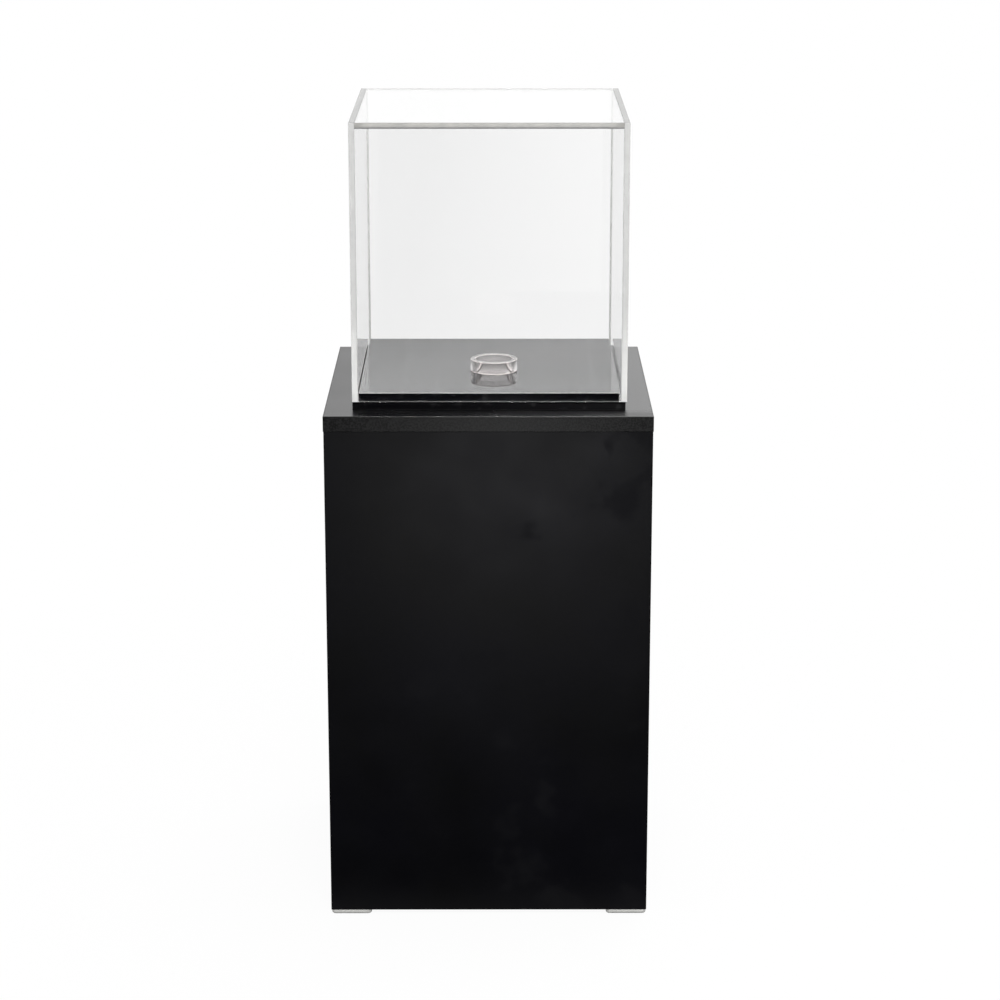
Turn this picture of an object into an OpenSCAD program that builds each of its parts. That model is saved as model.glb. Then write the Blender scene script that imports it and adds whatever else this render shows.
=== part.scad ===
// Pedestal display case. A square pedestal of laminated board stands on four moulded glides.
// A two-step gloss base is screwed to its cap, a five-sided clear cover stands on the lower step,
// and a loose clear ring on the upper step holds a ball.
// Millimetres, +Z up. The origin is on the floor, under the centre of the pedestal.

/* [Pedestal] */
// Width and depth of the square cap, over its edge bands
cap_w = 356; // [330:1:420]
// Thickness of the cap board
cap_t = 17; // [14:0.5:25]
// How far the cap stands past the body on every side
cap_overhang = 0.5; // [0:0.5:10]
// Height of the body panels, from the glides to the cap
body_h = 555; // [400:0.5:800]
// Thickness of the body panels and the bottom panel
panel_t = 16; // [14:0.5:20]
// Thickness of the edge bands
band_t = 1; // [0.4:0.1:2]

/* [Battens and cleats] */
// Width and depth of the corner battens, and of the cleats under the cap
batten_w = 18; // [15:1:24]
// Rows of screws up each corner batten
batten_rows = 3; // [2:1:5]
// Distance of the end rows from the bottom panel and from the cap
row_end = 60; // [45:5:120]
// How much higher the rows into the side panels lie than those into the front and back
row_step = 20; // [12:1:30]
// Distance between the two screws that hold each cleat to its panel
cleat_screw_gap = 220; // [180:5:240]
// Distance between the two screws that go up through each cleat into the cap
cap_screw_gap = 160; // [80:5:165]

/* [Glides] */
// Width and depth of each glide
glide_w = 45; // [34:1:50]
// How far the glides stand in from the body's faces
glide_inset = 0.5; // [0.5:0.5:4]
// Height of each glide
glide_h = 5.5; // [5:0.5:10]
// Radius of the glide's corners, seen from above
glide_corner = 4.5; // [4.5:0.5:12]
// Radius of the glide's lower edge
glide_edge = 3; // [0.5:0.1:4]
// Depth of the screw head inside the glide
glide_sink = 1; // [0.5:0.1:1.5]

/* [Display base] */
// How far the base, and all that stands on it, lies to the right of the cap's centre
base_x = 0.7; // [-2:0.1:2]
// Thickness of the lower, base plate
base_t = 9; // [8:0.5:15]
// Thickness of the upper, display plate
plate_t = 9; // [4:0.5:15]
// How far the cover's walls stand past the base plate
cover_proud = 1; // [-4:0.5:4]
// Gap between the display plate and the cover's left wall
gap_left = 0.8; // [0.3:0.1:4]
// Gap between the display plate and the cover's right wall
gap_right = 2.2; // [0.3:0.1:4]
// Gap between the display plate and the cover's front and back walls
gap_depth = 1.5; // [0.3:0.1:4]
// Distance between neighbouring screws that hold the base plate to the cap
base_screw_gap = 210; // [100:5:240]

/* [Cover] */
// Outside width and depth of the square cover
cover_w = 298; // [280:1:325]
// Outside height of the cover
cover_h = 302.5; // [150:0.5:400]
// Thickness of the cover's sheets
cover_wall = 6.35; // [3:0.05:10]

/* [Ball ring] */
// Outside diameter of the ring
ring_d = 52.5; // [40:0.5:90]
// Height of the ring
ring_h = 13.5; // [6:0.5:25]
// Thickness of the ring's wall
ring_wall = 5.7; // [3:0.1:8]
// Bevel on the ring's edges
ring_bevel = 0.5; // [0.1:0.1:1]
// Distance of the ring to the right of the base's centre
ring_x = 5.5; // [-60:0.5:60]
// Distance of the ring in front of the base's centre
ring_front = 28; // [-60:0.5:60]

/* [Screws] */
// Diameter of the wood screws' shank
shank_d = 4; // [3:0.1:5]
// Diameter of the wood screws' countersunk head
head_d = 8; // [7:0.1:9]
// Height of the cylindrical rim of the countersunk head
head_rim = 0.4; // [0.2:0.1:0.6]
// How far the wood screws bite into the board they hold
screw_bite = 12; // [8:0.5:13]
// How far the glide screws bite into the corner battens
glide_bite = 15; // [10:0.5:25]
// Diameter of the base screws' shank
base_shank_d = 5; // [4:0.1:6]
// Diameter of the base screws' pan head
pan_d = 9.5; // [8:0.1:12]
// Height of the base screws' pan head
pan_h = 3; // [2:0.1:4]
// Bevel round the pan head
pan_bevel = 0.8; // [0.3:0.1:1]
// How far the base screws bite into the base plate
base_bite = 6.5; // [4:0.1:7]
// Gap between a screw and its hole, on the radius
screw_gap = 0.05; // [0.02:0.01:0.1]
// Width of the slots in the cross recess
slot_w = 1.2; // [0.8:0.1:1.5]
// Length of the slots in the cross recess
slot_l = 4.4; // [3:0.1:5]
// Depth of the cross recess
slot_h = 1.6; // [0.8:0.1:1.8]

/* [Hidden] */
body_w = cap_w - 2 * cap_overhang;
inner_w = body_w - 2 * panel_t;
body_z = glide_h;
cap_z = body_z + body_h;
base_z = cap_z + cap_t;
plate_z = base_z + base_t;
ring_z = plate_z + plate_t;
cover_z = plate_z;
floor_z = body_z + panel_t;
glide_mid = body_w / 2 - glide_inset - glide_w / 2;

batten_l = cap_z - floor_z;
batten_mid = inner_w / 2 - batten_w / 2;
batten_face = inner_w / 2 - batten_w;
cleat_l = inner_w - 2 * batten_w;
cleat_z = cap_z - batten_w;
cleat_mid_z = cap_z - batten_w / 2;

cover_in = cover_w - 2 * cover_wall;
cover_x = base_x + (gap_right - gap_left) / 2;
base_w = cover_w - 2 * cover_proud;
plate_w = cover_in - gap_left - gap_right;
plate_d = cover_in - 2 * gap_depth;

screw_l = batten_w + screw_bite;
glide_screw_l = glide_h - glide_sink + panel_t + glide_bite;
base_screw_l = cap_t + base_bite;
head_h = head_rim + (head_d - shank_d) / 2;

row_low = floor_z + row_end;
row_high = cap_z - row_end;
row_gap = (row_high - row_low) / (batten_rows - 1);
ROWS = [for (k = [0 : batten_rows - 1]) row_low + k * row_gap];

// Sides and corners are numbered as the front side and the front left corner turn with the clock's
// hands reversed, seen from above: a quarter turn each.
SIDES = ["front", "right", "back", "left"];
CORNERS = ["fl", "fr", "br", "bl"];
QUARTERS = [0 : 3];

function named(stem, ends) = [for (end = ends) str(stem, "_", end)];

eps = 0.01;
$fn = 64;

LAMINATE = [0.09, 0.09, 0.10];
BAND = [0.07, 0.07, 0.075];
GLOSS_BLACK = [0.03, 0.03, 0.035];
CLEAR = [0.86, 0.90, 0.92, 0.35];
SOFTWOOD = [0.80, 0.66, 0.46];
ZINC = [0.72, 0.72, 0.70];
GLIDE_GREY = [0.70, 0.70, 0.69];

// Turns what is drawn at the front, or at the front left corner, to side or corner k.
module turned(k) rotate([0, 0, 90 * k]) children();

// Puts a screw, drawn with its head at the origin and its tip up +Z, at each [place, turn].
module put(places) for (p = places) translate(p[0]) rotate(p[1]) children();

// A board that stands at the front, centred in X, with its outer face at y = -out.
module front_board(length, out, thick, z, height)
    translate([-length / 2, -out, z]) cube([length, thick, height]);

// A level board, centred in Y, with its middle at x.
module flat_board(width, depth, z, thick, x = 0)
    translate([x - width / 2, -depth / 2, z]) cube([width, depth, thick]);

// ---- Screws ----

// The screws at the front, driven forwards through the battens (end is -1 left, 1 right) and the
// cleat, and up through the cleat. Rows into the left and right panels lie a step higher, so that
// the two sets miss each other inside the batten.
function is_side(k) = k % 2 == 1;
function batten_places(k, end) =
    [for (z = ROWS) [[end * batten_mid, -batten_face, z + (is_side(k) ? row_step : 0)], [90, 0, 0]]];
function cleat_places() =
    [for (end = [-1, 1]) [[end * cleat_screw_gap / 2, -batten_face, cleat_mid_z], [90, 0, 0]]];
function cap_places() = [for (end = [-1, 1]) [[end * cap_screw_gap / 2, -batten_mid, cleat_z], [0, 0, 0]]];
function glide_places() = [[[-batten_mid, -batten_mid, glide_sink], [0, 0, 0]]];
function base_places() = let (half = base_screw_gap / 2)
    [for (x = [-half, half], y = [-half, half]) [[base_x + x, y, cap_z], [0, 0, 0]]];

// A pointed countersunk screw. With grow it is the hole that the screw leaves, and sink is how far
// the hole goes on past the head.
module wood_shape(length, grow = 0, sink = 0) {
    shank_r = shank_d / 2 + grow;
    head_r = head_d / 2 + grow;
    tip = shank_d;
    rotate_extrude() polygon([
        [0, -sink], [head_r, -sink], [head_r, head_rim], [shank_r, head_h],
        [shank_r, length - tip], [0, length + grow]
    ]);
}

module cross_recess() {
    for (turn = [0, 90]) rotate([0, 0, turn])
        translate([-slot_l / 2, -slot_w / 2, -eps]) cube([slot_l, slot_w, slot_h + eps]);
}

module wood_screw(length) difference() {
    wood_shape(length);
    cross_recess();
}

// A flat-ended screw whose pan head lies below the origin, under the board that it holds.
module pan_shape(length, grow = 0) {
    shank_r = base_shank_d / 2 + grow;
    rotate_extrude() polygon([
        [0, -pan_h], [pan_d / 2 - pan_bevel, -pan_h], [pan_d / 2, pan_bevel - pan_h], [pan_d / 2, 0],
        [shank_r, 0], [shank_r, length + grow], [0, length + grow]
    ]);
}

module pan_screw(length) difference() {
    pan_shape(length);
    translate([0, 0, -pan_h]) cross_recess();
}

module batten_screws() color(ZINC)
    for (k = QUARTERS, end = [-1, 1]) turned(k) put(batten_places(k, end)) wood_screw(screw_l);

module cleat_screws() color(ZINC)
    for (k = QUARTERS) turned(k) put(cleat_places()) wood_screw(screw_l);

module cap_screws() color(ZINC)
    for (k = QUARTERS) turned(k) put(cap_places()) wood_screw(screw_l);

module glide_screws() color(ZINC)
    for (k = QUARTERS) turned(k) put(glide_places()) wood_screw(glide_screw_l);

module base_screws() color(ZINC)
    put(base_places()) pan_screw(base_screw_l);

// ---- Pedestal body ----

// The front and back panels run the full width, less their bands. The side panels stand between them.
module panel(k) color(LAMINATE) turned(k) difference() {
    front_board(is_side(k) ? inner_w : body_w - 2 * band_t, body_w / 2, panel_t, body_z, body_h);
    for (end = [-1, 1]) put(batten_places(k, end)) wood_shape(screw_l, screw_gap);
    put(cleat_places()) wood_shape(screw_l, screw_gap);
}

// The bottom panel lies between the four body panels, level with their lower edges.
module panel_bottom() color(LAMINATE) difference() {
    flat_board(inner_w, inner_w, body_z, panel_t);
    for (k = QUARTERS) turned(k) put(glide_places()) wood_shape(glide_screw_l, screw_gap);
}

// A strip that covers one side edge of the front (k = 0) or back (k = 2) panel.
module panel_band(k, end) color(BAND) turned(k)
    translate([end * (body_w - band_t) / 2, 0, 0]) front_board(band_t, body_w / 2, panel_t, body_z, body_h);

// A softwood batten in the front left corner, turned to corner k.
module corner_batten(k) color(SOFTWOOD) difference() {
    turned(k) translate([-inner_w / 2, -inner_w / 2, floor_z]) cube([batten_w, batten_w, batten_l]);
    turned(k) put(batten_places(k, -1)) wood_shape(screw_l, screw_gap);
    turned(k + 3) put(batten_places(k + 3, 1)) wood_shape(screw_l, screw_gap);
    turned(k) put(glide_places()) wood_shape(glide_screw_l, screw_gap);
}

// ---- Cap ----

module cap_cleat(k) color(SOFTWOOD) turned(k) difference() {
    front_board(cleat_l, inner_w / 2, batten_w, cleat_z, batten_w);
    put(cleat_places()) wood_shape(screw_l, screw_gap);
    put(cap_places()) wood_shape(screw_l, screw_gap);
}

module cap_board() color(LAMINATE) difference() {
    flat_board(cap_w - 2 * band_t, cap_w - 2 * band_t, cap_z, cap_t);
    for (k = QUARTERS) turned(k) put(cap_places()) wood_shape(screw_l, screw_gap);
    put(base_places()) pan_shape(base_screw_l, screw_gap);
}

// The front and back bands cover the ends of the side bands.
module cap_band(k) color(BAND) turned(k)
    front_board(is_side(k) ? cap_w - 2 * band_t : cap_w, cap_w / 2, band_t, cap_z, cap_t);

// ---- Glides ----

// Half of the glide's section, from its axis to the straight side, with a wide round lower edge.
module glide_section(half) {
    translate([0, glide_edge]) square([half, glide_h - glide_edge]);
    square([half - glide_edge, glide_h]);
    translate([half - glide_edge, glide_edge]) intersection() {
        circle(glide_edge);
        translate([0, -glide_edge]) square(glide_edge);
    }
}

module glide_bar(half, length) for (side = [0, 180]) rotate([0, 0, side])
    rotate([90, 0, 0]) translate([0, 0, -length / 2]) linear_extrude(length) glide_section(half);

module glide_pad() {
    straight = glide_w - 2 * glide_corner;
    glide_bar(glide_w / 2, straight);
    rotate([0, 0, 90]) glide_bar(glide_w / 2, straight);
    for (x = [-1, 1], y = [-1, 1]) translate([x * straight / 2, y * straight / 2, 0])
        rotate_extrude() glide_section(glide_corner);
}

module glide(k) color(GLIDE_GREY) turned(k) difference() {
    translate([-glide_mid, -glide_mid, 0]) glide_pad();
    put(glide_places()) wood_shape(glide_screw_l, screw_gap, glide_sink + eps);
}

// ---- Display base ----

module base_plate() color(GLOSS_BLACK) difference() {
    flat_board(base_w, base_w, base_z, base_t, base_x);
    put(base_places()) pan_shape(base_screw_l, screw_gap);
}

module display_plate() color(GLOSS_BLACK) flat_board(plate_w, plate_d, plate_z, plate_t, base_x);

// ---- Cover ----

// The side sheets run the full height and depth. The top lies between them, over the front and back.
module cover_sheet(k) color(CLEAR) translate([cover_x, 0, 0]) turned(k)
    front_board(is_side(k) ? cover_w : cover_in, cover_w / 2, cover_wall, cover_z,
                is_side(k) ? cover_h : cover_h - cover_wall);

module cover_top() color(CLEAR)
    flat_board(cover_in, cover_w, cover_z + cover_h - cover_wall, cover_wall, cover_x);

// ---- Ball ring ----

module ball_ring() color(CLEAR) translate([base_x + ring_x, -ring_front, ring_z]) rotate_extrude() polygon([
    [ring_d / 2 - ring_wall + ring_bevel, 0], [ring_d / 2 - ring_bevel, 0],
    [ring_d / 2, ring_bevel], [ring_d / 2, ring_h - ring_bevel],
    [ring_d / 2 - ring_bevel, ring_h], [ring_d / 2 - ring_wall + ring_bevel, ring_h],
    [ring_d / 2 - ring_wall, ring_h - ring_bevel], [ring_d / 2 - ring_wall, ring_bevel]
]);

cover_top();
for (k = QUARTERS) cover_sheet(k);
ball_ring();
display_plate();
base_plate();
base_screws();
cap_board();
for (k = QUARTERS) cap_band(k);
for (k = QUARTERS) cap_cleat(k);
cap_screws();
cleat_screws();
for (k = QUARTERS) panel(k);
panel_bottom();
panel_band(0, -1);  // front_band_left
panel_band(0, 1);  // front_band_right
panel_band(2, 1);  // back_band_left
panel_band(2, -1);  // back_band_right
for (k = QUARTERS) corner_batten(k);
batten_screws();
for (k = QUARTERS) glide(k);
glide_screws();
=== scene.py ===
import bmesh
import bpy
import math
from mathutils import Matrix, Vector


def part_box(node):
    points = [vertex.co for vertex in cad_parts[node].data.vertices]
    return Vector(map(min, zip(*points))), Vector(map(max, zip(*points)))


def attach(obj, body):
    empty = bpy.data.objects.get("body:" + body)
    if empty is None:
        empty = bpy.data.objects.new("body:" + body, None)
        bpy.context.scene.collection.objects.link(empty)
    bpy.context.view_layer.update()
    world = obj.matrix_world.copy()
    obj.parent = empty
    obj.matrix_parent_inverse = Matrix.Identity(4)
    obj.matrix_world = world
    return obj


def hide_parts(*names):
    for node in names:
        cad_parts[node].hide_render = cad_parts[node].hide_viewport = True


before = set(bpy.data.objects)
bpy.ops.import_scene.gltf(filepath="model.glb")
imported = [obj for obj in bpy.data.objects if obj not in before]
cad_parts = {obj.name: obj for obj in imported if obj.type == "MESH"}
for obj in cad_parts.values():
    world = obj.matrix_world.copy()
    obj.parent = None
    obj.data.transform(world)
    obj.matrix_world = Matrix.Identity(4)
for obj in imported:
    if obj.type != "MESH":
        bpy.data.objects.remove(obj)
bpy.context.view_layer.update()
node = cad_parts
scene = bpy.context.scene

# ---- The camera ----
# It stands about three metres in front of the pedestal, a little above the cover, and looks down on it.
camera = bpy.data.cameras.new("camera")
camera.sensor_width = 36
camera.lens = 100.24
camera.clip_end = 60
looks_down, turned = 15.327, -0.12
viewpoint = bpy.data.objects.new("camera", camera)
viewpoint.location = (0.0065, -3.0843, 1.2812)
viewpoint.rotation_euler = (math.radians(90 - looks_down), 0, math.radians(turned))
scene.collection.objects.link(viewpoint)
scene.camera = viewpoint
scene.view_settings.view_transform = "Standard"

# ---- The studio: surroundings ----
# A white sweep behind and a dim room in front. Seen by the camera, directly or through the clear cover,
# the surroundings are plain white. Mirrored, they turn dim towards the front, darkest straight ahead and
# a little to the left, and the sweep behind is brighter above the pedestal. What is mirrored twice is
# brighter again. The sides and the ceiling are dim where clear edges bend the view to them. As light the
# surroundings are soft.
studio = bpy.data.worlds.new("studio")
studio.use_nodes = True
scene.world = studio


def arithmetic(tree, operation, *terms):
    """A Math node; each term is a number or another node's output."""
    step = tree.nodes.new("ShaderNodeMath")
    step.operation = operation
    for socket, term in zip(step.inputs, terms):
        if isinstance(term, (int, float)):
            socket.default_value = term
        else:
            tree.links.new(term, socket)
    return step.outputs[0]


def mapped(tree, value, start, end, low, high):
    """Takes the value's range start..end to low..high, and holds it there."""
    spread = tree.nodes.new("ShaderNodeMapRange")
    for socket, number in zip(("From Min", "From Max", "To Min", "To Max"), (start, end, low, high)):
        spread.inputs[socket].default_value = number
    tree.links.new(value, spread.inputs["Value"])
    return spread.outputs["Result"]


def along(tree, place, axis):
    """One coordinate of a place or direction."""
    split = tree.nodes.new("ShaderNodeSeparateXYZ")
    tree.links.new(place, split.inputs[0])
    return split.outputs[axis]


tree = studio.node_tree
ray = tree.nodes.new("ShaderNodeLightPath").outputs
direction = tree.nodes.new("ShaderNodeTexCoord").outputs["Generated"]
across, depth, height = [along(tree, direction, axis) for axis in "XYZ"]
aside = arithmetic(tree, "ABSOLUTE", across)
darkest, wall_level = 0.05, 0.4
walls = arithmetic(tree, "MAXIMUM", mapped(tree, aside, 0.12, 0.45, darkest, wall_level),
                   mapped(tree, across, -0.05, 0.12, darkest, wall_level))
above = arithmetic(tree, "MULTIPLY", walls, mapped(tree, height, -0.02, 0.06, 0.0, 1.0))
room = arithmetic(tree, "MAXIMUM", above, mapped(tree, depth, -0.7, -0.1, darkest, 1.0))
low_sweep = mapped(tree, height, 0.14, 0.19, 1.04, 0.9)
high_sweep = mapped(tree, height, 0.203, 0.2245, 0.91, 1.33)
room = arithmetic(tree, "MULTIPLY", room, arithmetic(tree, "MAXIMUM", low_sweep, high_sweep))
twice_mirrored = mapped(tree, ray["Glossy Depth"], 1, 2, 1.0, 1.4)
room = arithmetic(tree, "MULTIPLY", room, twice_mirrored)
mirrored = arithmetic(tree, "MINIMUM", ray["Glossy Depth"], 1)
level = arithmetic(tree, "MULTIPLY_ADD", mirrored, arithmetic(tree, "SUBTRACT", room, 1), 1)
dimming = 0.75
dim_sides = mapped(tree, aside, 0.2, 0.45, 0, dimming)
dim_ceiling = mapped(tree, height, 0.3, 0.5, 0, dimming)
bent = mapped(tree, ray["Transmission Depth"], 4, 5, 0, 1)
shade = arithmetic(tree, "MULTIPLY", bent, arithmetic(tree, "MAXIMUM", dim_sides, dim_ceiling))
level = arithmetic(tree, "MULTIPLY", level, arithmetic(tree, "SUBTRACT", 1, shade))
soft_light = mapped(tree, ray["Is Diffuse Ray"], 0, 1, 1.0, 0.55)
surround = tree.nodes["Background"]
surround.inputs["Color"].default_value = (1, 1, 1, 1)
tree.links.new(arithmetic(tree, "MULTIPLY", level, soft_light), surround.inputs["Strength"])

# ---- The studio: floor ----
# A pale sweep that runs out to plain white. Near the pedestal it keeps the soft shadow. What it mirrors
# into the black faces is painted shade: its colour goes dark near the pedestal and towards the front, a
# little less so far to the right, and stays white far behind.
floor_radius = 9
floor_mesh = bpy.data.meshes.new("floor")
shape = bmesh.new()
bmesh.ops.create_circle(shape, cap_ends=True, segments=96, radius=floor_radius)
shape.to_mesh(floor_mesh)
shape.free()
floor = bpy.data.objects.new("floor", floor_mesh)
scene.collection.objects.link(floor)
paper = bpy.data.materials.new("paper")
paper.use_nodes = True
tree = paper.node_tree
tree.nodes.remove(tree.nodes["Principled BSDF"])
ray = tree.nodes.new("ShaderNodeLightPath").outputs
place = tree.nodes.new("ShaderNodeTexCoord").outputs["Object"]
across, depth = [along(tree, place, axis) for axis in "XY"]
length = tree.nodes.new("ShaderNodeVectorMath")
length.operation = "LENGTH"
tree.links.new(place, length.inputs[0])
distance = length.outputs["Value"]
# Painted shade, seen only where the black faces mirror the floor: its colour goes dark within reach of the
# pedestal and in front of it, a little less far to the right, and a little lighter again at the pedestal's
# foot.
front = mapped(tree, depth, -0.3, 0.3, 1, 0)
near = mapped(tree, distance, 1.5, 2.2, 1, 0)
mirrored = arithmetic(tree, "MINIMUM", ray["Glossy Depth"], 1)
dim = arithmetic(tree, "MULTIPLY", mirrored, arithmetic(tree, "MAXIMUM", front, near))
less_dim = 0.55
far_right = arithmetic(tree, "MAXIMUM", mapped(tree, across, -0.2, 0.35, 1.0, less_dim),
                       mapped(tree, depth, -3.3, -2.9, less_dim, 1.0))
foot_glow = mapped(tree, depth, -0.26, -0.2, 1.0, 0.85)
dim = arithmetic(tree, "MULTIPLY", dim, arithmetic(tree, "MINIMUM", far_right, foot_glow))
tint = tree.nodes.new("ShaderNodeMix")
tint.data_type = "RGBA"
tint.inputs["A"].default_value = (0.8, 0.8, 0.8, 1)
tint.inputs["B"].default_value = (0.02, 0.02, 0.02, 1)
tree.links.new(dim, tint.inputs["Factor"])
matt = tree.nodes.new("ShaderNodeBsdfDiffuse")
tree.links.new(tint.outputs["Result"], matt.inputs["Color"])
glow = tree.nodes.new("ShaderNodeEmission")
glow.inputs["Color"].default_value = (1, 1, 1, 1)
unlit = arithmetic(tree, "SUBTRACT", 1, arithmetic(tree, "MAXIMUM", ray["Is Diffuse Ray"], dim))
blend = tree.nodes.new("ShaderNodeMixShader")
share = arithmetic(tree, "MULTIPLY", unlit, mapped(tree, distance, 0.25, 1.2, 0.95, 1.0))
tree.links.new(share, blend.inputs["Fac"])
tree.links.new(matt.outputs[0], blend.inputs[1])
tree.links.new(glow.outputs[0], blend.inputs[2])
tree.links.new(blend.outputs[0], tree.nodes["Material Output"].inputs["Surface"])
floor_mesh.materials.append(paper)

# ---- The studio: lamps ----
# A wide soft box hangs over the pedestal, one stands in front and one behind at the right. A weak low
# one in front gives the satin boards their soft gleam under the cap.
for name, spot, aim, width, height, power in [
    ("soft_box_above", (0.6, 0.8, 3.0), (0, 0, 0.5), 1.8, 1.8, 40),
    ("soft_box_front", (0.1, -1.8, 2.3), (0, 0, 0.3), 0.9, 0.9, 42),
    ("soft_box_back", (1.4, 2.6, 1.3), (0, 0, 0.6), 2.0, 2.0, 8),
    ("low_fill", (0.03, -1.7, 0.155), (0.03, 0, 0.5), 0.12, 0.05, 1.35),
]:
    lamp = bpy.data.lights.new(name, "AREA")
    lamp.shape = "RECTANGLE"
    lamp.size = width
    lamp.size_y = height
    lamp.energy = power
    stand = bpy.data.objects.new(name, lamp)
    stand.location = spot
    stand.rotation_euler = (Vector(spot) - Vector(aim)).to_track_quat("Z", "Y").to_euler()
    stand.visible_camera = False
    scene.collection.objects.link(stand)


# ---- Glides ----
# Four pads of light grey moulded plastic, each screwed through the bottom panel into a batten. The
# CAD solids have their rounded corners, wide lower edge and sunk screw hole already.
def finish_with(material, *names):
    """Paints CAD nodes with one material."""
    for name in names:
        mesh = node[name].data
        mesh.materials.clear()
        mesh.materials.append(material)


def new_finish(name, color, roughness, specular=0.5):
    """A material with its plain values on the shader's own sockets."""
    material = bpy.data.materials.new(name)
    material.use_nodes = True
    shader = material.node_tree.nodes["Principled BSDF"]
    shader.inputs["Base Color"].default_value = (*color, 1)
    shader.inputs["Roughness"].default_value = roughness
    shader.inputs["Specular IOR Level"].default_value = specular
    return material


def placed(material, axis):
    """One coordinate of the surface's place on the object, in metres."""
    tree = material.node_tree
    return along(tree, tree.nodes.new("ShaderNodeTexCoord").outputs["Object"], axis)


def pattern(material, scale, detail=4.0, stretch=(1, 1, 1)):
    """A noise pattern on the piece's own place in the object, in cycles a metre."""
    nodes, links = material.node_tree.nodes, material.node_tree.links
    place = nodes.new("ShaderNodeTexCoord")
    mapping = nodes.new("ShaderNodeMapping")
    mapping.inputs["Scale"].default_value = stretch
    texture = nodes.new("ShaderNodeTexNoise")
    texture.inputs["Scale"].default_value = scale
    texture.inputs["Detail"].default_value = detail
    links.new(place.outputs["Object"], mapping.inputs["Vector"])
    links.new(mapping.outputs["Vector"], texture.inputs["Vector"])
    return texture.outputs["Fac"]


def shade_between(material, value, dark, light):
    """Colours the surface from dark to light by the pattern's middle range."""
    nodes, links = material.node_tree.nodes, material.node_tree.links
    ramp = nodes.new("ShaderNodeValToRGB")
    ramp.color_ramp.elements[0].position = 0.3
    ramp.color_ramp.elements[1].position = 0.7
    ramp.color_ramp.elements[0].color = (*dark, 1)
    ramp.color_ramp.elements[1].color = (*light, 1)
    links.new(value, ramp.inputs["Fac"])
    links.new(ramp.outputs["Color"], nodes["Principled BSDF"].inputs["Base Color"])


def set_roughness(material, value):
    """Takes the roughness from a node's output."""
    material.node_tree.links.new(value, material.node_tree.nodes["Principled BSDF"].inputs["Roughness"])


def roughen(material, value, smooth, rough):
    """Varies the roughness by the pattern's middle range."""
    set_roughness(material, mapped(material.node_tree, value, 0.3, 0.7, smooth, rough))


def emboss(material, value, height, strength=1.0):
    """Raises the surface by the pattern, height in metres."""
    nodes, links = material.node_tree.nodes, material.node_tree.links
    bump = nodes.new("ShaderNodeBump")
    bump.inputs["Strength"].default_value = strength
    bump.inputs["Distance"].default_value = height
    links.new(value, bump.inputs["Height"])
    links.new(bump.outputs["Normal"], nodes["Principled BSDF"].inputs["Normal"])


moulded = new_finish("glide_plastic", (0.52, 0.52, 0.50), 0.42)
tree = moulded.node_tree
# Painted shade: the base colour darkens over the lowest 4 mm of each glide.
rise = mapped(tree, placed(moulded, "Z"), 0.0, 0.004, 0.25, 0.66)
tone = arithmetic(tree, "MULTIPLY_ADD", pattern(moulded, 60), 0.03, rise)
shade_between(moulded, tone, (0.30, 0.30, 0.29), (0.60, 0.60, 0.58))
roughen(moulded, pattern(moulded, 220), 0.45, 0.52)
emboss(moulded, pattern(moulded, 1500), 0.00002, 0.2)
finish_with(moulded, "glide_fl", "glide_fr", "glide_br", "glide_bl")

# ---- Screws ----
# Zinc-plated steel screws with a cross recess: countersunk ones in the wood and the glides, and
# pan-headed ones up through the cap into the base plate. They fill the holes that the CAD solids have.
zinc = new_finish("zinc_plate", (0.62, 0.62, 0.60), 0.35)
zinc.node_tree.nodes["Principled BSDF"].inputs["Metallic"].default_value = 1.0
shade_between(zinc, pattern(zinc, 300), (0.56, 0.57, 0.55), (0.68, 0.67, 0.64))
roughen(zinc, pattern(zinc, 900), 0.28, 0.45)
finish_with(zinc, "glide_screws", "batten_screws", "cleat_screws", "cap_screws", "base_screws")

# ---- Battens and cleats ----
# Planed softwood, screwed to the panels from inside. The battens' grain runs up the pedestal, the
# cleats' along their side of the cap.
for wood, stretch, names in [
    ("batten_pine", (1, 1, 0.04), ["corner_batten_" + corner for corner in ("fl", "fr", "br", "bl")]),
    ("cleat_pine_across", (0.04, 1, 1), ["cap_cleat_front", "cap_cleat_back"]),
    ("cleat_pine_along", (1, 0.04, 1), ["cap_cleat_left", "cap_cleat_right"]),
]:
    pine = new_finish(wood, (0.62, 0.46, 0.28), 0.6)
    rings = pattern(pine, 260, 3, stretch)
    shade_between(pine, rings, (0.50, 0.34, 0.18), (0.72, 0.56, 0.37))
    emboss(pine, rings, 0.0002, 0.5)
    finish_with(pine, *names)

# ---- Body panels ----
# Particle board faced with satin black melamine: four sides and a bottom. The faces are handled
# ones, so they carry faint smudges. The four sides' edges are eased by a hair.
panel_arris = 0.0003


def eased_board(piece_name, cad_name, arris, body="pedestal", shrink=0.0):
    """A board the size of its CAD node, less the shrink all round, with its edges taken off."""
    low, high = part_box(cad_name)
    size = high - low - Vector((shrink, shrink, shrink)) * 2
    mesh = bpy.data.meshes.new(piece_name)
    shape = bmesh.new()
    bmesh.ops.create_cube(shape, size=1)
    bmesh.ops.scale(shape, vec=size, verts=shape.verts)
    bmesh.ops.translate(shape, vec=(low + high) / 2, verts=shape.verts)
    bmesh.ops.bevel(shape, geom=shape.edges[:], offset=arris, affect="EDGES", segments=3,
                    profile=0.5, material=-1)
    shape.to_mesh(mesh)
    shape.free()
    piece = bpy.data.objects.new(piece_name, mesh)
    scene.collection.objects.link(piece)
    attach(piece, body)
    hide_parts(cad_name)
    return piece


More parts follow.
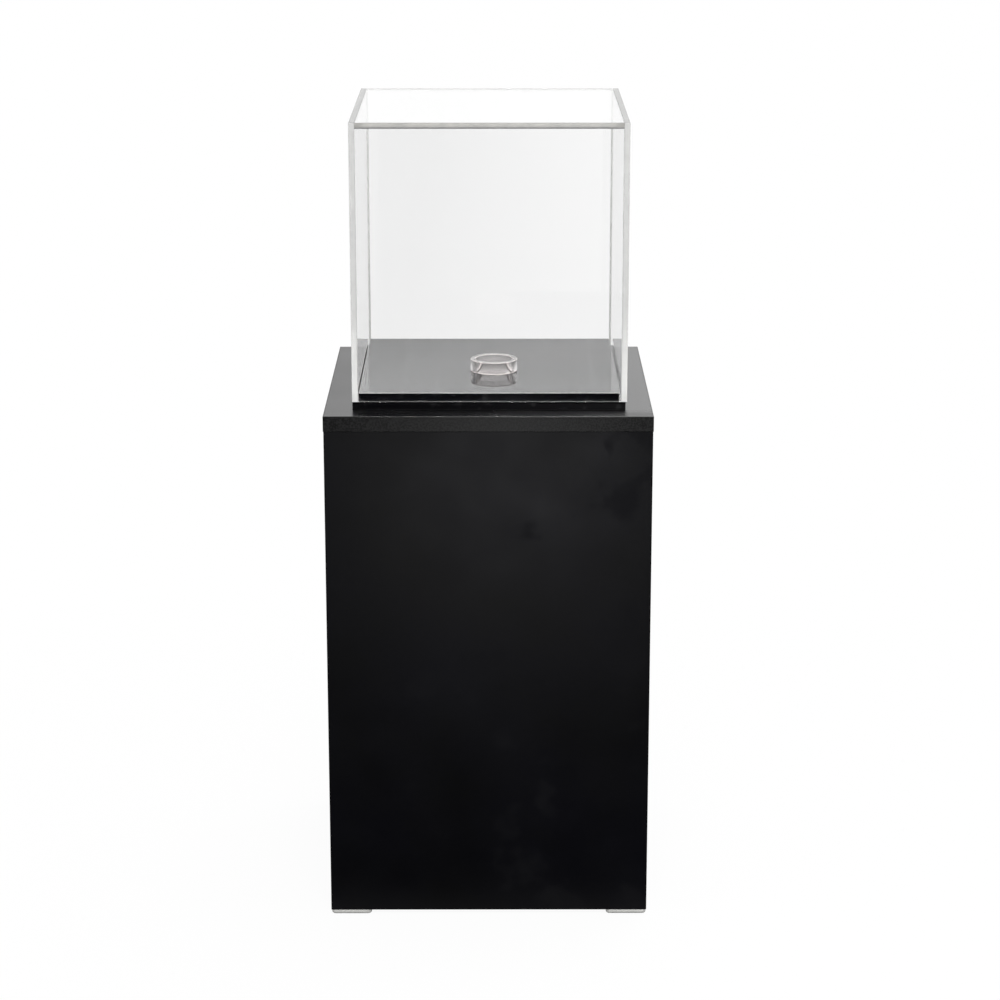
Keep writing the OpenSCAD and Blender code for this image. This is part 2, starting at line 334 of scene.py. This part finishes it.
melamine = new_finish("black_melamine", (0.001, 0.001, 0.0014), 0.36, 0.235)
tree = melamine.node_tree
shade_between(melamine, pattern(melamine, 7, 5), (0.0, 0.0, 0.0003), (0.0006, 0.0006, 0.0022))
sheen = mapped(tree, pattern(melamine, 16, 6), 0.3, 0.7, 0.33, 0.39)
smudge = mapped(tree, pattern(melamine, 14, 6), 0.6, 0.68, 0.0, 0.16)
set_roughness(melamine, arithmetic(tree, "ADD", sheen, smudge))
emboss(melamine, pattern(melamine, 2600, 2), 0.00004, 0.5)
for side in ("front", "right", "back", "left"):
    panel = eased_board("panel_board_" + side, "panel_" + side, panel_arris)
    panel.data.materials.append(melamine)
finish_with(melamine, "panel_bottom")

# ---- Edge bands on the front and back panels ----
# Thin black plastic strips with a pebbled face, glued along the side edges of the boards. Their own
# edges are rounded over a little.
band_arris = 0.0004
band = new_finish("pebbled_band", (0.006, 0.006, 0.0062), 0.31, 0.18)
grain = pattern(band, 600, 1)
pebble = mapped(band.node_tree, grain, 0.43, 0.57, 0.3, 0.7)
shade_between(band, pebble, (0.0012, 0.0012, 0.0013), (0.0105, 0.0105, 0.0107))
roughen(band, pebble, 0.29, 0.34)
emboss(band, grain, 0.00007, 0.4)
for strip in ("front_band_left", "front_band_right", "back_band_left", "back_band_right"):
    edge = eased_board(strip + "_strip", strip, band_arris)
    edge.data.materials.append(band)

# ---- Cap ----
# The top board is melamine-faced too, wiped a little smoother towards the right, but along the front
# towards the left. Pebbled plastic strips cover its four edges and are rounded over. The front one's top
# arris carries a painted highlight, lighter towards the right.
cap_arris, cap_strip_arris = 0.0002, 0.0005
top = eased_board("cap_board_top", "cap_board", cap_arris)
cap_face = new_finish("black_cap_melamine", (0.004, 0.004, 0.0045), 0.28, 0.385)
tree = cap_face.node_tree
shade_between(cap_face, pattern(cap_face, 9, 5), (0.001, 0.001, 0.0014), (0.003, 0.003, 0.0035))
across = placed(cap_face, "X")
wiped = mapped(tree, across, -0.18, 0.18, 0.33, 0.2)
left_corner = mapped(tree, across, -0.148, -0.128, 0.135, 0)
handled = arithmetic(tree, "ADD", mapped(tree, across, -0.11, 0.14, -0.13, 0.16), left_corner)
front_margin = mapped(tree, placed(cap_face, "Y"), -0.165, -0.145, 1, 0)
wiped = arithmetic(tree, "MULTIPLY_ADD", handled, front_margin, wiped)
uneven = mapped(tree, pattern(cap_face, 12, 2), 0.3, 0.7, -0.015, 0.015)
set_roughness(cap_face, arithmetic(tree, "ADD", wiped, uneven))
emboss(cap_face, pattern(cap_face, 2600, 2), 0.00003, 0.4)
top.data.materials.append(cap_face)
# Painted highlight: the strips' top arrises that face the front are coloured lighter, more so towards the
# right.
band_arris_highlight = new_finish("band_arris_painted_highlight", (0.04, 0.04, 0.04), 0.24, 0.45)
tree = band_arris_highlight.node_tree
highlight_across = mapped(tree, placed(band_arris_highlight, "X"), -0.14, 0.14, 0.25, 0.65)
tone = arithmetic(tree, "MULTIPLY_ADD", pattern(band_arris_highlight, 60, 3), 0.1, highlight_across)
shade_between(band_arris_highlight, tone, (0.001, 0.001, 0.001), (0.08, 0.08, 0.08))
roughen(band_arris_highlight, pattern(band_arris_highlight, 25, 3), 0.24, 0.28)
for side in ("front", "right", "back", "left"):
    edge = eased_board("cap_strip_" + side, "cap_band_" + side, cap_strip_arris)
    edge.data.materials.append(band)
    edge.data.materials.append(band_arris_highlight)
    for face in edge.data.polygons:
        face.material_index = 1 if face.normal.z > 0.2 and face.normal.y < -0.2 else 0

# ---- Gloss base ----
# Two plates of gloss black acrylic with polished edges: the lower one carries the cover, the upper one fits
# inside it. The upper one's front and left top arrises are rougher and coloured lighter as a painted
# highlight. Faint lighter streaks running front to back in the gloss colour are painted reflections.
plate_arris = 0.0005
gloss = new_finish("gloss_black_acrylic", (0.002, 0.002, 0.003), 0.04)
gloss.node_tree.nodes["Principled BSDF"].inputs["IOR"].default_value = 1.49
# Painted reflection: faint lighter streaks run front to back in the gloss colour.
streak_noise = pattern(gloss, 110, 1, (1, 0.01, 1))
streak = mapped(gloss.node_tree, streak_noise, 0.6, 0.72, 0.3, 0.7)
shade_between(gloss, streak, (0.0008, 0.0008, 0.0014), (0.012, 0.012, 0.013))
roughen(gloss, pattern(gloss, 12, 6), 0.015, 0.035)
# Painted highlight: the display plate's front and left top arrises are coloured lighter.
plate_arris_highlight = new_finish("plate_arris_painted_highlight", (0.3, 0.3, 0.295), 0.3)
shade_between(plate_arris_highlight, pattern(plate_arris_highlight, 400, 3), (0.22, 0.22, 0.215), (0.38, 0.38, 0.37))
for plate, name in (("base_plate", "base_step"), ("display_plate", "display_step")):
    step = eased_board(name, plate, plate_arris)
    step.data.materials.append(gloss)
    step.data.materials.append(plate_arris_highlight)
    for face in step.data.polygons:
        shown_arris = face.normal.z > 0.2 and min(face.normal.x, face.normal.y) < -0.15
        face.material_index = 1 if plate == "display_plate" and shown_arris else 0

# ---- Ball ring ----
# A slice of cast acrylic tube, clear with a faint rosy haze, with polished cut faces. Its arrises are
# taken off with a scraper, so they are cloudy and catch the light.
ring_wall, ring_arris = 0.0057, 0.0005
ring_low, ring_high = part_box("ball_ring")
ring_centre = (ring_low + ring_high) / 2
outside = (ring_high.x - ring_low.x) / 2
inside = outside - ring_wall
shape = bmesh.new()
section = [shape.verts.new((radius, 0, level)) for radius, level in (
    (inside, ring_low.z), (outside, ring_low.z), (outside, ring_high.z), (inside, ring_high.z))]
profile = shape.faces.new(section)
bmesh.ops.bevel(shape, geom=profile.verts[:], offset=ring_arris, affect="VERTICES", segments=3,
                profile=0.5, material=-1)
bmesh.ops.spin(shape, geom=shape.verts[:] + shape.edges[:], cent=(0, 0, 0), axis=(0, 0, 1),
               angle=2 * math.pi, steps=128, use_merge=True)
bmesh.ops.delete(shape, geom=[f for f in shape.faces if len(f.verts) > 4], context="FACES_ONLY")
bmesh.ops.translate(shape, vec=(ring_centre.x, ring_centre.y, 0), verts=shape.verts)
bmesh.ops.recalc_face_normals(shape, faces=shape.faces)
for face in shape.faces:
    face.smooth = abs(face.normal.z) < 0.99
    face.material_index = 1 if 0.1 < abs(face.normal.z) < 0.99 else 0
ring_mesh = bpy.data.meshes.new("ring")
shape.to_mesh(ring_mesh)
shape.free()
ring_mesh.set_sharp_from_angle(angle=math.radians(40))
ring = bpy.data.objects.new("clear_ring", ring_mesh)
scene.collection.objects.link(ring)


def clear(name, color, roughness, clarity=1.0):
    """Acrylic: light goes through it and bends, less so where it is hazy."""
    material = new_finish(name, color, roughness)
    shader = material.node_tree.nodes["Principled BSDF"]
    shader.inputs["IOR"].default_value = 1.49
    shader.inputs["Transmission Weight"].default_value = clarity
    return material


tube = clear("clear_tube", (0.97, 0.945, 0.94), 0.0, 0.95)
emboss(tube, pattern(tube, 40, 2), 0.0001, 0.03)
cut = clear("ring_arris", (0.75, 0.71, 0.69), 0.15, 0.35)
shade_between(cut, pattern(cut, 300, 4), (0.68, 0.63, 0.61), (0.78, 0.73, 0.71))
ring_mesh.materials.append(tube)
ring_mesh.materials.append(cut)
ring.visible_shadow = False
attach(ring, "ring")
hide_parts("ball_ring")

# ---- Cover ----
# Five sheets of clear cast acrylic, glued edge to edge. The side sheets run the full height and depth, and
# the top lies between them. Their sawn edges are polished but stay a little hazy: light up the sides, where
# a painted gradient of light makes them lighter towards the foot, darker at the lid and on top, and darkest
# at the foot, where the dark colour is painted shade from the black base they stand on.
sheet_arris, glue_line = 0.0003, 0.00003
sheet = clear("clear_sheet", (0.997, 0.997, 0.997), 0.0)
emboss(sheet, pattern(sheet, 9, 2), 0.0001, 0.004)
plinth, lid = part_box("cover_front")[0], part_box("cover_top")[0]
rims = []
for rim_name, dark, light in [
    ("upright_edge", (0.57, 0.57, 0.565), (0.80, 0.80, 0.79)),
    ("top_edge", (0.17, 0.17, 0.165), (0.24, 0.24, 0.235)),
    ("lid_edge", (0.24, 0.245, 0.255), (0.64, 0.63, 0.59)),
    # Painted shade: the foot edge is coloured darkest, where the sheets stand on the black base.
    ("foot_edge_painted_shade", (0.1, 0.1, 0.1), (0.24, 0.24, 0.235)),
]:
    rim = clear(rim_name, light, 0.08, 0.5)
    tree = rim.node_tree
    rise = 0.35
    if rim_name == "upright_edge":
        # Painted light: the upright edges are coloured lighter towards their foot.
        rise = mapped(tree, placed(rim, "Z"), plinth.z + 0.015, plinth.z + 0.09, 0.6, 0.25)
    if rim_name == "lid_edge":
        rise = mapped(tree, placed(rim, "Z"), lid.z + 0.0006, lid.z + 0.0014, 0.15, 0.45)
    tone = arithmetic(tree, "MULTIPLY_ADD", pattern(rim, 70, 3), 0.2, rise)
    shade_between(rim, tone, dark, light)
    rims.append(rim)
clear_face, upright_rim, top_rim, lid_rim, shaded_foot_rim = range(5)
for side in ("front", "right", "back", "left", "top"):
    pane = eased_board("cover_sheet_" + side, "cover_" + side, sheet_arris, "cover", glue_line)
    low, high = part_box("cover_" + side)
    thin = min(range(3), key=lambda axis: (high - low)[axis])
    for finish in (sheet, *rims):
        pane.data.materials.append(finish)
    for face in pane.data.polygons:
        if abs(face.normal[thin]) > 0.9:
            face.material_index = clear_face
        elif side == "top":
            face.material_index = lid_rim
        elif abs(face.normal.z) > 0.5:
            face.material_index = top_rim if face.normal.z > 0 else shaded_foot_rim
        else:
            face.material_index = upright_rim
    pane.visible_shadow = False

# ---- Cement in the cover's corners ----
# Solvent cement runs out of the glued joints and dries as a thin clear bead in each upright corner,
# wider at the back than at the front.
front_leg, back_leg = 0.0004, 0.0021
bead_mesh = bpy.data.meshes.new("cement_beads")
shape = bmesh.new()
left_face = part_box("cover_left")[1].x
right_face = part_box("cover_right")[0].x
front_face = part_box("cover_front")[1].y
back_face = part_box("cover_back")[0].y
foot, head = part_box("cover_back")[0].z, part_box("cover_back")[1].z
for x, inward in ((left_face, 1), (right_face, -1)):
    for y, leg in ((front_face, front_leg), (back_face, -back_leg)):
        width = inward * abs(leg)
        start = [shape.verts.new(spot) for spot in ((x, y, foot), (x + width, y, foot), (x, y + leg, foot))]
        section = shape.faces.new(start)
        raised = bmesh.ops.extrude_face_region(shape, geom=[section])["geom"]
        end = [part for part in raised if isinstance(part, bmesh.types.BMVert)]
        bmesh.ops.translate(shape, vec=(0, 0, head - foot), verts=end)
bmesh.ops.recalc_face_normals(shape, faces=shape.faces)
shape.to_mesh(bead_mesh)
shape.free()
beads = bpy.data.objects.new("cement_beads", bead_mesh)
scene.collection.objects.link(beads)
cement = clear("dried_cement", (0.6, 0.6, 0.59), 0.3, 0.1)
shade_between(cement, pattern(cement, 150, 3), (0.41, 0.41, 0.405), (0.47, 0.47, 0.46))
bead_mesh.materials.append(cement)
beads.visible_shadow = False
beads.visible_glossy = False
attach(beads, "cover")
